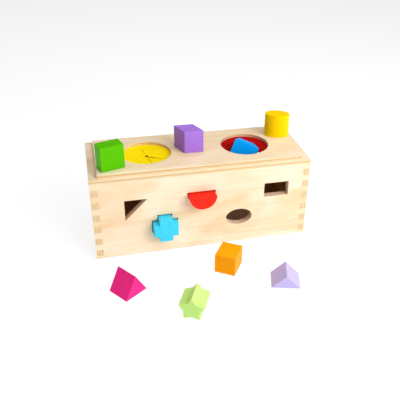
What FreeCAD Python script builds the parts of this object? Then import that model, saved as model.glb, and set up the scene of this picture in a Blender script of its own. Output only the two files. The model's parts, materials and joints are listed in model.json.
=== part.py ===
import FreeCAD, Part
import os
import Sketcher

# Shape sorter: a long plywood case with finger-jointed corners, a built-up lid with two
# stretched membranes, and ten loose blocks of different section. Millimetres, +Z up.
# The origin is the middle of the case's underside; -Y is the front with five shape holes.

SHEET = "Sizes"

SIZES = [
    # case
    ("case_length", 300, "outside, along X"),
    ("case_depth", 115, "outside, along Y"),
    ("wall_rise", 116, "height of the four walls"),
    ("wall_ply", 10, "thickness of the four walls"),
    ("finger_width", 9.3, "height of one finger of the corner joints"),
    ("base_ply", 5, "thickness of the base panel"),
    ("base_tongue", 4, "how far the base panel reaches into each wall"),
    # lid
    ("lid_board_ply", 5, "lower board, flush with the walls"),
    ("lid_panel_ply", 5, "raised upper panel"),
    ("panel_inset_end", 10.5, "raised panel, in from each end of the lid"),
    ("panel_inset_side", 5, "raised panel, in from the lid's front and back"),
    ("opening_radius", 34, "round openings in the lid"),
    ("opening_spread", 140, "between the centres of the two openings"),
    ("membrane_ply", 1, "thickness of the elastic membranes"),
    ("membrane_rim", 8, "width of membrane held between the boards"),
    ("slit_reach", 27, "length of a slit from the membrane's centre"),
    ("slit_gap", 0.5, "width of a slit at rest"),
    ("slit_cuts", 4, "cuts right across the membrane"),
    ("slit_turn", 10, "turn of the first cut from X, degrees"),
    ("pinhole_radius", 2.3, "hole where the slits cross"),
    ("batten_width", 8, "locating battens under the lid, along X"),
    ("batten_drop", 8, "how far the battens reach into the case"),
    ("batten_gap", 1, "play between a batten and the walls"),
    # blocks
    ("block_length", 32, "length of a block along its section's axis"),
    ("yellow_length", 34, "the yellow block is a little longer than the others"),
    ("edge_round", 0.5, "rounding of every block edge"),
    ("hole_clearance", 1, "gap all round a block held in the middle of its wall hole"),
    ("rest_gap", 0.05, "left under a block that rests on the lower edge of its hole"),
    ("membrane_clearance", 0.6, "gap all round the block in the parted membrane"),
    ("square_side", 28, ""),
    ("rhombus_side", 26.5, ""),
    ("rhombus_angle", 67, "acute corners, degrees"),
    ("rectangle_long", 33.5, ""),
    ("rectangle_short", 19.5, ""),
    ("ellipse_long", 35.5, ""),
    ("ellipse_short", 23, ""),
    ("cross_span", 33.5, ""),
    ("cross_arm", 18, ""),
    ("half_round_radius", 18.6, ""),
    ("triangle_side", 34.3, "equal sides"),
    ("right_triangle_leg", 27, "the two equal legs"),
    ("star_outer", 17.6, "five points"),
    ("star_inner", 11, ""),
    ("trapezoid_base", 36, ""),
    ("trapezoid_top", 22, ""),
    ("trapezoid_rise", 24, ""),
    # middle of each hole's outline in the walls, from the case's middle and underside
    ("upper_row", 72, "height of the upper row of holes"),
    ("lower_row", 41.3, "height of the lower row of holes"),
    ("front_column_1", -93.5, "right-angled triangle"),
    ("front_column_2", -55.5, "cross"),
    ("front_column_3", -4.6, "half round"),
    ("front_column_4", 49, "ellipse"),
    ("front_column_5", 102.2, "rectangle"),
    ("half_round_rise", 16, "its flat side above the upper row"),
    ("rectangle_rise", 7.5, "rectangle above the upper row"),
    ("back_column_1", -98, "equal-sided triangle"),
    ("back_column_2", -51, "square"),
    ("back_column_3", 0, "star"),
    ("back_column_4", 51, "rhombus"),
    ("back_column_5", 98, "trapezoid"),
    # how the blocks lie
    ("stuck_out", 13.5, "how far the blocks in the front wall stand out of it"),
    ("green_from_end", 30.1, ""),
    ("green_from_front", 24.4, ""),
    ("green_turn", 17.5, "degrees"),
    ("purple_left", 10.9, "from the lid's middle"),
    ("purple_forward", 1.5, "from the lid's middle"),
    ("yellow_from_end", 25.5, ""),
    ("yellow_from_back", 37.4, ""),
    ("yellow_turn", -20, "degrees"),
    ("blue_left", 3.7, "block's middle from the opening's middle"),
    ("blue_forward", 6.4, "block's middle from the opening's middle"),
    ("blue_sunk", 5.5, "block's middle below the membrane"),
    ("blue_turn", -20.4, "degrees about Z"),
    ("blue_lean_side", 20.6, "degrees about Y"),
    ("blue_lean_front", -16, "degrees about X"),
    ("pink_across", -115.5, "from the case's middle"),
    ("pink_forward", 72.7, "from the front wall"),
    ("pink_turn", 36, "degrees"),
    ("lime_across", -41, ""),
    ("lime_forward", 129.7, ""),
    ("lime_turn", -25.2, "degrees"),
    ("orange_across", 20.2, ""),
    ("orange_forward", 56.6, ""),
    ("orange_turn", -33.4, "degrees"),
    ("lilac_across", 86, ""),
    ("lilac_forward", 100.7, ""),
    ("lilac_turn", -15.9, "degrees"),
]


def size(name):
    """Name of a sheet value as an expression reads it."""
    return f"{SHEET}.{name}"


def expand(text):
    """Turn {name} into the sheet value's full name, so expressions stay short to read."""
    for name, _, _ in SIZES:
        text = text.replace("{" + name + "}", size(name))
    return text


def fill_sheet(doc):
    sheet = doc.addObject("Spreadsheet::Sheet", SHEET)
    for row, (name, value, note) in enumerate(SIZES, start=1):
        sheet.set(f"A{row}", name)
        sheet.set(f"B{row}", str(value))
        sheet.set(f"C{row}", note)
        sheet.setAlias(f"B{row}", name)
    doc.recompute()
    return sheet


# ---------------------------------------------------------------- sketches


def bind(thing, path, text):
    thing.setExpression(path, expand(text))


def new_sketch(body, name, plane, offset=("0", "0", "0"), turn="0"):
    """A sketch on one of the body's own origin planes, shifted and turned in that plane."""
    sketch = body.newObject("Sketcher::SketchObject", name)
    planes = {item.Role: item for item in body.Origin.OriginFeatures}
    sketch.AttachmentSupport = [(planes[plane], "")]
    sketch.MapMode = "FlatFace"
    for axis, text in zip("xyz", offset):
        bind(sketch, f"AttachmentOffset.Base.{axis}", text)
    bind(sketch, "AttachmentOffset.Rotation.Angle", turn)
    return sketch


def pin(sketch, geometry, end, across, up):
    """Hold one point of the sketch at two expressions, measured from the sketch's origin."""
    for kind, text in (("DistanceX", across), ("DistanceY", up)):
        index = sketch.addConstraint(Sketcher.Constraint(kind, -1, 1, geometry, end, 1.0))
        bind(sketch, f"Constraints[{index}]", text)


def value_of(sketch, text):
    """Number an expression gives now, to start the geometry near its place."""
    return float(sketch.evalExpression(expand(text)))


def add_polygon(sketch, corners):
    first = sketch.GeometryCount
    spots = [FreeCAD.Vector(value_of(sketch, a), value_of(sketch, u), 0) for a, u in corners]
    count = len(spots)
    for k in range(count):
        sketch.addGeometry(Part.LineSegment(spots[k], spots[(k + 1) % count]))
    for k in range(count):
        follower = first + (k + 1) % count
        sketch.addConstraint(Sketcher.Constraint("Coincident", first + k, 2, follower, 1))
    for k, (across, up) in enumerate(corners):
        pin(sketch, first + k, 1, across, up)


def add_rectangle(sketch, left, right, low, high):
    add_polygon(sketch, [(left, low), (right, low), (right, high), (left, high)])


def add_circle(sketch, radius, across="0"):
    centre = FreeCAD.Vector(value_of(sketch, across), 0, 0)
    index = sketch.addGeometry(Part.Circle(centre, FreeCAD.Vector(0, 0, 1), value_of(sketch, radius)))
    pin(sketch, index, 3, across, "0")
    held = sketch.addConstraint(Sketcher.Constraint("Radius", index, value_of(sketch, radius)))
    bind(sketch, f"Constraints[{held}]", radius)


# ---------------------------------------------------------------- block sections
# Each function draws one section. "grow" is an expression for the gap all round:
# nothing for the block itself, the clearance for the hole that the block goes through.

# length of one of the star's ten sides, and how far an inner corner is off an arm's middle line
STAR_FLANK = "sqrt({star_outer} ^ 2 + {star_inner} ^ 2 - 2 * {star_outer} * {star_inner} * cos(36))"
STAR_POINT = "({star_inner} * sin(36))"


def draw_square(sketch, grow):
    half = f"({{square_side}} / 2 + {grow})"
    add_rectangle(sketch, f"-{half}", half, f"-{half}", half)


def draw_rectangle(sketch, grow):
    wide = f"({{rectangle_long}} / 2 + {grow})"
    high = f"({{rectangle_short}} / 2 + {grow})"
    add_rectangle(sketch, f"-{wide}", wide, f"-{high}", high)


def draw_rhombus(sketch, grow):
    side = f"({{rhombus_side}} + 2 * {grow} / sin({{rhombus_angle}}))"
    lean = f"{side} * cos({{rhombus_angle}}) / 2"
    rise = f"{side} * sin({{rhombus_angle}}) / 2"
    add_polygon(sketch, [(f"-{side} / 2 + {lean}", f"-{rise}"), (f"{side} / 2 + {lean}", f"-{rise}"),
                         (f"{side} / 2 - {lean}", rise), (f"-{side} / 2 - {lean}", rise)])


def draw_triangle(sketch, grow):
    half = f"({{triangle_side}} / 2 + {grow} * sqrt(3))"
    add_polygon(sketch, [(f"-{half}", f"-{grow}"), (half, f"-{grow}"),
                         ("0", f"{{triangle_side}} * sqrt(3) / 2 + 2 * {grow}")])


def draw_right_triangle(sketch, grow):
    """Stands on its long side, so the right angle is at the top."""
    half = f"({{right_triangle_leg}} / sqrt(2) + {grow} * (1 + sqrt(2)))"
    add_polygon(sketch, [(f"-{half}", f"-{grow}"), (half, f"-{grow}"),
                         ("0", f"{{right_triangle_leg}} / sqrt(2) + {grow} * sqrt(2)")])


def draw_trapezoid(sketch, grow):
    slope = "(({trapezoid_base} - {trapezoid_top}) / (2 * {trapezoid_rise}))"
    middle = f"(({{trapezoid_base}} + {{trapezoid_top}}) / 4 + {grow} * sqrt(1 + {slope} ^ 2))"
    rise = f"({{trapezoid_rise}} / 2 + {grow})"
    low, high = f"({middle} + {slope} * {rise})", f"({middle} - {slope} * {rise})"
    add_polygon(sketch, [(f"-{low}", f"-{rise}"), (low, f"-{rise}"), (high, rise), (f"-{high}", rise)])


def draw_cross(sketch, grow):
    far = f"({{cross_span}} / 2 + {grow})"
    near = f"({{cross_arm}} / 2 + {grow})"
    quarter = [(near, far), (near, near), (far, near)]
    corners = []
    for across_sign, up_sign in ((1, 1), (1, -1), (-1, -1), (-1, 1)):
        turn = quarter if across_sign == up_sign else quarter[::-1]
        for across, up in turn:
            corners.append((across if across_sign > 0 else f"-{across}", up if up_sign > 0 else f"-{up}"))
    add_polygon(sketch, corners)


def draw_star(sketch, grow):
    edge = f"({{star_outer}} * {STAR_POINT} / {STAR_FLANK})"
    scale = f"(1 + {grow} / {edge})"
    corners = []
    for k in range(10):
        reach = "{star_inner}" if k % 2 else "{star_outer}"
        angle = 90 + 36 * k
        corners.append((f"{reach} * {scale} * cos({angle})", f"{reach} * {scale} * sin({angle})"))
    add_polygon(sketch, corners)


def draw_half_round(sketch, grow):
    """Flat side up, with the arc's centre at the sketch's origin."""
    radius = f"({{half_round_radius}} + {grow})"
    reach, lift = value_of(sketch, radius), value_of(sketch, grow)
    dip = FreeCAD.Vector(0, -reach, 0)
    side = (reach ** 2 - lift ** 2) ** 0.5
    left, right = FreeCAD.Vector(-side, lift, 0), FreeCAD.Vector(side, lift, 0)
    bow = sketch.addGeometry(Part.Arc(left, dip, right))
    flat = sketch.addGeometry(Part.LineSegment(right, left))
    sketch.addConstraint(Sketcher.Constraint("Coincident", bow, 3, -1, 1))
    held = sketch.addConstraint(Sketcher.Constraint("Radius", bow, reach))
    bind(sketch, f"Constraints[{held}]", radius)
    sketch.addConstraint(Sketcher.Constraint("Coincident", bow, 2, flat, 1))
    sketch.addConstraint(Sketcher.Constraint("Coincident", bow, 1, flat, 2))
    for end in (1, 2):
        held = sketch.addConstraint(Sketcher.Constraint("DistanceY", -1, 1, flat, end, 1.0))
        bind(sketch, f"Constraints[{held}]", grow)


def draw_ellipse(sketch, grow):
    long_half = f"({{ellipse_long}} / 2 + {grow})"
    short_half = f"({{ellipse_short}} / 2 + {grow})"
    far = FreeCAD.Vector(value_of(sketch, long_half), 0, 0)
    high = FreeCAD.Vector(0, value_of(sketch, short_half), 0)
    oval = sketch.addGeometry(Part.Ellipse(far, high, FreeCAD.Vector(0, 0, 0)))
    sketch.exposeInternalGeometry(oval)
    sketch.addConstraint(Sketcher.Constraint("Coincident", oval, 3, -1, 1))
    sketch.addConstraint(Sketcher.Constraint("Horizontal", oval + 1))
    for line, half in ((oval + 1, long_half), (oval + 2, short_half)):
        held = sketch.addConstraint(Sketcher.Constraint("Distance", line, 2 * value_of(sketch, half)))
        bind(sketch, f"Constraints[{held}]", f"2 * {half}")


# ---------------------------------------------------------------- features


def new_body(doc, name):
    body = doc.addObject("PartDesign::Body", name)
    body.Label = name
    return body


def pad(body, sketch, depth, name, towards_normal=True, both_ways=False):
    feature = body.newObject("PartDesign::Pad", name)
    feature.Profile = sketch
    bind(feature, "Length", depth)
    feature.Reversed = not towards_normal
    if both_ways:
        feature.SideType = "Symmetric"
    return feature


def cut(body, sketch, name, depth=None, towards_normal=False):
    """Pocket of a given depth, or right through; it has to take material away."""
    body.Document.recompute()
    before = body.Shape.Volume
    feature = body.newObject("PartDesign::Pocket", name)
    feature.Profile = sketch
    if depth is None:
        feature.Type = "ThroughAll"
    else:
        bind(feature, "Length", depth)
    feature.Reversed = towards_normal
    body.Document.recompute()
    if feature.Shape.Volume >= before - 0.01:
        raise RuntimeError(f"{name} cuts nothing from {body.Label}")
    return feature


def fingers_down(body, feature, sketch, name):
    """Repeat a tab or notch down a corner, one finger skipped between each two."""
    body.Document.recompute()
    row = body.newObject("PartDesign::LinearPattern", name)
    row.Originals = [feature]
    row.Direction = (sketch, ["V_Axis"])
    row.Reversed = True
    row.Mode = "Spacing"
    bind(row, "Offset", "2 * {finger_width}")
    bind(row, "Occurrences", "floor({wall_rise} / (2 * {finger_width}))")
    body.Tip = row
    return row


def round_edges(body, feature, name, radius):
    """Round every real edge of a block; a curved face's own seam is left alone."""
    body.Document.recompute()
    faces_at = {}
    for face in feature.Shape.Faces:
        for edge in face.Edges:
            faces_at.setdefault(edge.hashCode(), set()).add(face.hashCode())
    wanted = [f"Edge{k}" for k, edge in enumerate(feature.Shape.Edges, start=1)
              if len(faces_at[edge.hashCode()]) == 2]
    fillet = body.newObject("PartDesign::Fillet", name)
    fillet.Base = (feature, wanted)
    bind(fillet, "Radius", radius)
    return fillet


# ---------------------------------------------------------------- case

HALF_LENGTH = "{case_length} / 2"
HALF_DEPTH = "{case_depth} / 2"
FINGER_HIGH = "{wall_rise} - {finger_width}"
FINGER_LOW = "{wall_rise} - 2 * {finger_width}"


def rebate_for_base(body):
    """Step round the inside of the bottom edge, as deep as the base panel is thick."""
    sketch = new_sketch(body, f"{body.Label}_rebate_sketch", "XY_Plane")
    across = f"({HALF_LENGTH} - {{wall_ply}} + {{base_tongue}})"
    along = f"({HALF_DEPTH} - {{wall_ply}} + {{base_tongue}})"
    add_rectangle(sketch, f"-{across}", across, f"-{along}", along)
    cut(body, sketch, f"{body.Label}_rebate", "{base_ply}", towards_normal=True)


def wall_hole(body, draw, across, up, turn="0"):
    """Hole through a long wall in the shape of a block's section and its clearance."""
    label = f"{body.Label}_{draw.__name__.replace('draw_', '')}"
    plane = f"{HALF_DEPTH} + {{wall_ply}}" if body.Label.startswith("front") else "0"
    sketch = new_sketch(body, f"{label}_sketch", "XZ_Plane", (across, up, plane), turn)
    draw(sketch, "{hole_clearance}")
    cut(body, sketch, f"{label}_hole")


def long_wall(doc, name, front_face):
    """Front or back wall; front_face is where its face nearest the front lies along Y."""
    body = new_body(doc, name)
    outline = new_sketch(body, f"{name}_outline", "XZ_Plane", ("0", "0", f"-({front_face})"))
    add_rectangle(outline, f"-{HALF_LENGTH}", HALF_LENGTH, "0", "{wall_rise}")
    pad(body, outline, "{wall_ply}", f"{name}_board", towards_normal=False)
    notches = new_sketch(body, f"{name}_notches", "XZ_Plane", ("0", "0", f"-({front_face}) + 1"))
    inner = f"({HALF_LENGTH} - {{wall_ply}})"
    add_rectangle(notches, f"-{HALF_LENGTH} - 1", f"-{inner}", FINGER_LOW, FINGER_HIGH)
    add_rectangle(notches, inner, f"{HALF_LENGTH} + 1", FINGER_LOW, FINGER_HIGH)
    first = cut(body, notches, f"{name}_notch")
    fingers_down(body, first, notches, f"{name}_notch_row")
    rebate_for_base(body)
    return body


def end_wall(doc, name, left_face):
    """End wall; left_face is where its face nearest the left end lies along X."""
    body = new_body(doc, name)
    inner = f"({HALF_DEPTH} - {{wall_ply}})"
    outline = new_sketch(body, f"{name}_outline", "YZ_Plane", ("0", "0", left_face))
    add_rectangle(outline, f"-{inner}", inner, "0", "{wall_rise}")
    pad(body, outline, "{wall_ply}", f"{name}_board")
    tabs = new_sketch(body, f"{name}_tabs", "YZ_Plane", ("0", "0", left_face))
    add_rectangle(tabs, f"-{HALF_DEPTH}", f"-{inner}", FINGER_LOW, FINGER_HIGH)
    add_rectangle(tabs, inner, HALF_DEPTH, FINGER_LOW, FINGER_HIGH)
    first = pad(body, tabs, "{wall_ply}", f"{name}_tab")
    fingers_down(body, first, tabs, f"{name}_tab_row")
    rebate_for_base(body)
    return body


def build_case(doc):
    front = long_wall(doc, "front_panel", f"-{HALF_DEPTH}")
    wall_hole(front, draw_right_triangle, "{front_column_1}", "{upper_row}", "45")
    wall_hole(front, draw_cross, "{front_column_2}", "{lower_row}")
    wall_hole(front, draw_half_round, "{front_column_3}", "{upper_row} + {half_round_rise}")
    wall_hole(front, draw_ellipse, "{front_column_4}", "{lower_row}")
    wall_hole(front, draw_rectangle, "{front_column_5}", "{upper_row} + {rectangle_rise}")
    back = long_wall(doc, "back_panel", f"{HALF_DEPTH} - {{wall_ply}}")
    wall_hole(back, draw_triangle, "{back_column_1}", "{upper_row} - {triangle_side} / 3")
    wall_hole(back, draw_square, "{back_column_2}", "{lower_row}")
    wall_hole(back, draw_star, "{back_column_3}", "{upper_row}")
    wall_hole(back, draw_rhombus, "{back_column_4}", "{lower_row}")
    wall_hole(back, draw_trapezoid, "{back_column_5}", "{upper_row}")
    left = end_wall(doc, "left_end_panel", f"-{HALF_LENGTH}")
    right = end_wall(doc, "right_end_panel", f"{HALF_LENGTH} - {{wall_ply}}")
    base = new_body(doc, "base_panel")
    sketch = new_sketch(base, "base_outline", "XY_Plane")
    across = f"({HALF_LENGTH} - {{wall_ply}} + {{base_tongue}})"
    along = f"({HALF_DEPTH} - {{wall_ply}} + {{base_tongue}})"
    add_rectangle(sketch, f"-{across}", across, f"-{along}", along)
    pad(base, sketch, "{base_ply}", "base_board")
    return [front, back, left, right, base]


# ---------------------------------------------------------------- lid

LID_SEAT = "{wall_rise}"
PANEL_SEAT = "({wall_rise} + {lid_board_ply})"
LID_TOP = "({wall_rise} + {lid_board_ply} + {lid_panel_ply})"
MEMBRANE_SEAT = "({wall_rise} + {lid_board_ply} - {membrane_ply})"
OPENING_AT = "{opening_spread} / 2"
MEMBRANE_RADIUS = "({opening_radius} + {membrane_rim})"


def two_circles(sketch, radius):
    add_circle(sketch, radius, f"-{OPENING_AT}")
    add_circle(sketch, radius, OPENING_AT)


def build_lid_boards(doc):
    board = new_body(doc, "lid_board")
    outline = new_sketch(board, "lid_board_outline", "XY_Plane", ("0", "0", LID_SEAT))
    add_rectangle(outline, f"-{HALF_LENGTH}", HALF_LENGTH, f"-{HALF_DEPTH}", HALF_DEPTH)
    pad(board, outline, "{lid_board_ply}", "lid_board_plate")
    holes = new_sketch(board, "lid_board_holes", "XY_Plane", ("0", "0", PANEL_SEAT))
    two_circles(holes, "{opening_radius}")
    cut(board, holes, "lid_board_openings")
    seats = new_sketch(board, "membrane_seats", "XY_Plane", ("0", "0", PANEL_SEAT))
    two_circles(seats, MEMBRANE_RADIUS)
    cut(board, seats, "membrane_recesses", "{membrane_ply}")

    panel = new_body(doc, "lid_top_panel")
    outline = new_sketch(panel, "lid_panel_outline", "XY_Plane", ("0", "0", PANEL_SEAT))
    across = f"({HALF_LENGTH} - {{panel_inset_end}})"
    along = f"({HALF_DEPTH} - {{panel_inset_side}})"
    add_rectangle(outline, f"-{across}", across, f"-{along}", along)
    pad(panel, outline, "{lid_panel_ply}", "lid_panel_plate")
    holes = new_sketch(panel, "lid_panel_holes", "XY_Plane", ("0", "0", LID_TOP))
    two_circles(holes, "{opening_radius}")
    cut(panel, holes, "lid_panel_openings")
    return [board, panel]


def build_membrane(doc, name, across):
    """Elastic disc in its recess, cut into flaps by slits that cross in the middle."""
    body = new_body(doc, name)
    outline = new_sketch(body, f"{name}_outline", "XY_Plane")
    add_circle(outline, MEMBRANE_RADIUS)
    pad(body, outline, "{membrane_ply}", f"{name}_disc")
    pinhole = new_sketch(body, f"{name}_pinhole_sketch", "XY_Plane")
    add_circle(pinhole, "{pinhole_radius}")
    cut(body, pinhole, f"{name}_pinhole", towards_normal=True)
    slit = new_sketch(body, f"{name}_slit_sketch", "XY_Plane", turn="{slit_turn}")
    add_rectangle(slit, "-{slit_reach}", "{slit_reach}", "-{slit_gap} / 2", "{slit_gap} / 2")
    first = cut(body, slit, f"{name}_slit", towards_normal=True)
    ring = body.newObject("PartDesign::PolarPattern", f"{name}_slits")
    ring.Originals = [first]
    ring.Axis = (slit, ["N_Axis"])
    bind(ring, "Angle", "180 * ({slit_cuts} - 1) / {slit_cuts}")
    bind(ring, "Occurrences", "{slit_cuts}")
    body.Tip = ring
    bind(body, "Placement.Base.x", across)
    bind(body, "Placement.Base.z", MEMBRANE_SEAT)
    return body


def build_batten(doc, name, left_face):
    batten = doc.addObject("Part::Box", name)
    batten.Label = name
    bind(batten, "Length", "{batten_width}")
    bind(batten, "Width", "{case_depth} - 2 * ({wall_ply} + {batten_gap})")
    bind(batten, "Height", "{batten_drop}")
    bind(batten, "Placement.Base.x", left_face)
    bind(batten, "Placement.Base.y", f"{{wall_ply}} + {{batten_gap}} - {HALF_DEPTH}")
    bind(batten, "Placement.Base.z", "{wall_rise} - {batten_drop}")
    return batten


def build_lid(doc, blue_placement):
    yellow = build_membrane(doc, "yellow_membrane", f"-{OPENING_AT}")
    whole_red = build_membrane(doc, "red_membrane_sheet", OPENING_AT)
    parting = section_body(doc, "red_membrane_parting", draw_trapezoid, "{membrane_clearance}",
                           "3 * {block_length}")
    bind(parting, "Placement", blue_placement)
    red = doc.addObject("Part::Cut", "red_membrane")
    red.Label = "red_membrane"
    red.Base, red.Tool = whole_red, parting
    gap = "{wall_ply} + {batten_gap}"
    left = build_batten(doc, "left_lid_batten", f"{gap} - {HALF_LENGTH}")
    right = build_batten(doc, "right_lid_batten", f"{HALF_LENGTH} - ({gap}) - {{batten_width}}")
    return build_lid_boards(doc) + [yellow, red, left, right]


# ---------------------------------------------------------------- blocks


def section_body(doc, name, draw, grow, length):
    """Straight prism of one section, centred on its own origin along its axis."""
    body = new_body(doc, name)
    sketch = new_sketch(body, f"{name}_section", "XY_Plane")
    draw(sketch, grow)
    pad(body, sketch, length, f"{name}_prism", both_ways=True)
    return body


def build_block(doc, name, draw, placement, length="{block_length}"):
    body = section_body(doc, name, draw, "0", length)
    round_edges(body, body.Tip, f"{name}_edges", "{edge_round}")
    bind(body, "Placement", placement)
    return body


def placed(across, along, up, turns):
    return f"placement(vector({across}; {along}; {up}); {turns})"


# middle of the star above the floor when it lies on two of its rounded points
STAR_SEAT = f"(({{star_outer}} - {{edge_round}} * {STAR_FLANK} / {STAR_POINT}) * cos(36) + {{edge_round}})"
BLUE_PLACE = placed(f"{OPENING_AT} - {{blue_left}}", "-{blue_forward}", f"{PANEL_SEAT} - {{blue_sunk}}",
                    "rotationz({blue_turn}) * rotationy({blue_lean_side}) * rotationx({blue_lean_front})")


def on_floor(colour, up):
    """A block lying in front of the case, its axis level."""
    along = f"-{HALF_DEPTH} - {{{colour}_forward}}"
    return placed(f"{{{colour}_across}}", along, up, f"rotationz({{{colour}_turn}}) * rotationx(90)")


def build_blocks(doc):
    on_end = f"{LID_TOP} + {{block_length}} / 2"
    stuck = f"{{block_length}} / 2 - {HALF_DEPTH} - {{stuck_out}}"
    settled = "{rest_gap} - {hole_clearance}"
    facing = "rotationx(90)"
    plan = [
        ("green_rectangle_block", draw_rectangle,
         placed(f"{{green_from_end}} - {HALF_LENGTH}", f"{{green_from_front}} - {HALF_DEPTH}",
                f"{LID_TOP} + {{rectangle_long}} / 2", "rotationz({green_turn}) * rotationy(90)")),
        ("purple_rhombus_block", draw_rhombus,
         placed("-{purple_left}", "-{purple_forward}", on_end, "rotationz(0)")),
        ("yellow_ellipse_block", draw_ellipse,
         placed(f"{HALF_LENGTH} - {{yellow_from_end}}", f"{HALF_DEPTH} - {{yellow_from_back}}",
                f"{LID_TOP} + {{yellow_length}} / 2", "rotationz({yellow_turn})"), "{yellow_length}"),
        ("blue_trapezoid_block", draw_trapezoid, BLUE_PLACE),
        ("cyan_cross_block", draw_cross,
         placed("{front_column_2}", stuck, f"{{lower_row}} + {settled}", facing)),
        ("red_half_round_block", draw_half_round,
         placed("{front_column_3}", stuck, f"{{upper_row}} + {{half_round_rise}} + {settled}", facing)),
        ("pink_triangle_block", draw_triangle, on_floor("pink", "0")),
        ("lime_star_block", draw_star, on_floor("lime", STAR_SEAT)),
        ("orange_square_block", draw_square, on_floor("orange", "{square_side} / 2")),
        ("lilac_right_triangle_block", draw_right_triangle, on_floor("lilac", "0")),
    ]
    return [build_block(doc, name, draw, *rest) for name, draw, *rest in plan]


# ---------------------------------------------------------------- make and write


def check(doc, nodes):
    for item in doc.Objects:
        if "Invalid" in item.State or "Error" in item.State:
            raise RuntimeError(f"{item.Label} failed: {item.State}")
    for node in nodes:
        shape = node.Shape
        if shape.isNull() or not shape.isValid() or not shape.Solids:
            raise RuntimeError(f"{node.Label} has no sound solid")


def main():
    doc = FreeCAD.newDocument("shape_sorter")
    fill_sheet(doc)
    nodes = build_case(doc) + build_lid(doc, BLUE_PLACE) + build_blocks(doc)
    doc.recompute()
    check(doc, nodes)
    os.makedirs("parts", exist_ok=True)
    for node in nodes:
        node.Shape.exportStep(f"parts/{node.Label}.step")
        box = node.Shape.BoundBox
        print(f"{node.Label}: {node.Shape.Volume:.0f} mm3, {len(node.Shape.Solids)} solid(s), "
              f"X {box.XMin:.1f}..{box.XMax:.1f} Y {box.YMin:.1f}..{box.YMax:.1f} "
              f"Z {box.ZMin:.1f}..{box.ZMax:.1f}")


main()
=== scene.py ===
"""Looks of a plywood shape sorter: case, lift-off lid with two elastic openings, ten blocks."""

import json
import logging
import math
from abc import ABC, abstractmethod
from contextlib import contextmanager
from dataclasses import dataclass, field
from enum import Enum
from typing import Callable, Iterator, Sequence

import bmesh
import bpy
from mathutils import Matrix, Vector


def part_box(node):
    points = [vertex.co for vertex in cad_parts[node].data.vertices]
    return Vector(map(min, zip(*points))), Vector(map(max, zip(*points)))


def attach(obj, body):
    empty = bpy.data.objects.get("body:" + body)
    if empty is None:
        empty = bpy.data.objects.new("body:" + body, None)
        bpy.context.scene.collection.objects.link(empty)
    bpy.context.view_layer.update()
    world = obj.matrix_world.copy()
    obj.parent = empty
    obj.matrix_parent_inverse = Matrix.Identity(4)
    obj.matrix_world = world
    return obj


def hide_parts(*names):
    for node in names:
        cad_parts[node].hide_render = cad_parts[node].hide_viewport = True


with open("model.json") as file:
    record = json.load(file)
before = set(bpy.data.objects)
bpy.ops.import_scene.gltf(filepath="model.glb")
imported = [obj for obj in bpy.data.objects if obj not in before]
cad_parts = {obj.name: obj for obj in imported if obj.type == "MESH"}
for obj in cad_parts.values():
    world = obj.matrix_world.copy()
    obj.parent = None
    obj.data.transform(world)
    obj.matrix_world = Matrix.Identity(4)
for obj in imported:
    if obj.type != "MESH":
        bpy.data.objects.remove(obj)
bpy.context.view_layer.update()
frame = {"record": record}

LOG = logging.getLogger("shape_sorter")
MM = 0.001
Colour = tuple[float, float, float, float]
PlaceTest = Callable[[Vector, Vector], bool]
Socket = bpy.types.NodeSocket

NEAR = 0.1 * MM
TOUCHING = 0.02 * MM
ALIGNED = 0.9
SPOKE_SLACK = 0.02
SHARP_BEND = math.radians(32)
GENTLE_BEND = math.radians(40)
ROUND_CORNERS = 128
ROD_CORNERS = 160


def tone(red: int, green: int, blue: int) -> Colour:
    """Mix a colour from its everyday 0 to 255 values.

    Args:
        red: Red share.
        green: Green share.
        blue: Blue share.

    Returns:
        The same colour as the shader counts it, with full opacity.
    """

    def linear(value: int) -> float:
        """Undo the display curve for one channel."""
        share = value / 255
        return share / 12.92 if share <= 0.04045 else ((share + 0.055) / 1.055) ** 2.4

    return (linear(red), linear(green), linear(blue), 1.0)


class Grain(Enum):
    """Which way the face grain of a board runs."""

    ALONG_X = 0
    ALONG_Y = 1
    ALONG_Z = 2


class Across(Enum):
    """The direction in which a board's plies are stacked."""

    X = 0
    Y = 1
    Z = 2


class Element(Enum):
    """What is picked on a mesh."""

    VERT = 0
    EDGE = 1
    FACE = 2


# ---------------------------------------------------------------- finishes


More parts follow.
